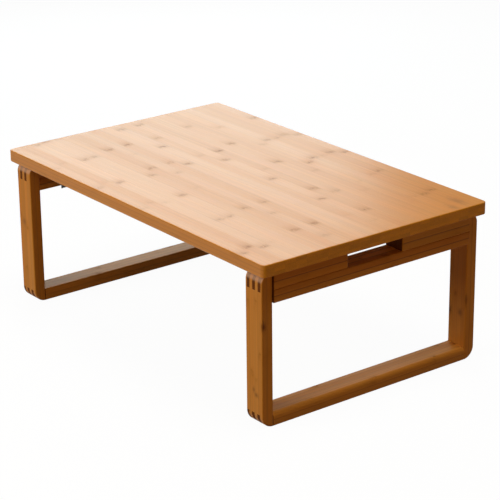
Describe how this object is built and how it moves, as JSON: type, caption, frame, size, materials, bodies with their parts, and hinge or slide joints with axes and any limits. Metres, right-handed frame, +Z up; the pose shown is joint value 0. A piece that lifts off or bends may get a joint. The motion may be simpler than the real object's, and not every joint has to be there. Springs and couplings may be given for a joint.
{
  "type": "folding coffee table",
  "caption": "Low rectangular bamboo table on finger-jointed hoop leg frames that fold inward under the top on steel brackets, with a hand slot above each frame's rail.",
  "frame": {"origin": "on the floor, under the middle of the table", "axes": "+X along the table's length, +Y across it, from the front long side to the back one, +Z up; right is the +X end and front is the -Y side"},
  "size_m": [0.7, 0.44, 0.265],
  "materials": {
    "board_bamboo": "satin clear varnish over strip-laminated bamboo",
    "frame_bamboo": "satin clear varnish over strip-laminated bamboo",
    "dowel_wood": "plain sanded wood",
    "blackened_steel": "black coated pressed sheet steel",
    "rivet_steel": "zinc plated",
    "spring_steel": "blued spring steel",
    "screw_steel": "zinc plated"
  },
  "bodies": {
    "table_board": {"tabletop": "board_bamboo", "right_front_top_plate": "blackened_steel", "right_front_pivot_rivet": "rivet_steel", "right_front_detent_spring": "spring_steel", "right_front_spring_rivet": "rivet_steel", "right_front_top_screws": "screw_steel", "right_back_top_plate": "blackened_steel", "right_back_pivot_rivet": "rivet_steel", "right_back_detent_spring": "spring_steel", "right_back_spring_rivet": "rivet_steel", "right_back_top_screws": "screw_steel", "left_front_top_plate": "blackened_steel", "left_front_pivot_rivet": "rivet_steel", "left_front_detent_spring": "spring_steel", "left_front_spring_rivet": "rivet_steel", "left_front_top_screws": "screw_steel", "left_back_top_plate": "blackened_steel", "left_back_pivot_rivet": "rivet_steel", "left_back_detent_spring": "spring_steel", "left_back_spring_rivet": "rivet_steel", "left_back_top_screws": "screw_steel"},
    "right_frame": {"right_front_post": "frame_bamboo", "right_back_post": "frame_bamboo", "right_foot_bar": "frame_bamboo", "right_lower_rail": "frame_bamboo", "right_front_rail_block": "frame_bamboo", "right_back_rail_block": "frame_bamboo", "right_rail_dowels": "dowel_wood", "right_front_leg_leaf": "blackened_steel", "right_front_leaf_screws": "screw_steel", "right_back_leg_leaf": "blackened_steel", "right_back_leaf_screws": "screw_steel"},
    "left_frame": {"left_front_post": "frame_bamboo", "left_back_post": "frame_bamboo", "left_foot_bar": "frame_bamboo", "left_lower_rail": "frame_bamboo", "left_front_rail_block": "frame_bamboo", "left_back_rail_block": "frame_bamboo", "left_rail_dowels": "dowel_wood", "left_front_leg_leaf": "blackened_steel", "left_front_leaf_screws": "screw_steel", "left_back_leg_leaf": "blackened_steel", "left_back_leaf_screws": "screw_steel"}
  },
  "joints": [
    {"name": "right_frame_fold", "type": "hinge", "parent": "table_board", "child": "right_frame", "pos_m": [0.2923, 0, 0.236], "axis": [0, 1, 0], "range_deg": [0, 90], "deforming": ["right_front_detent_spring", "right_back_detent_spring"]},
    {"name": "left_frame_fold", "type": "hinge", "parent": "table_board", "child": "left_frame", "pos_m": [-0.2923, 0, 0.236], "axis": [0, -1, 0], "range_deg": [0, 90], "deforming": ["left_front_detent_spring", "left_back_detent_spring"]}
  ]
}
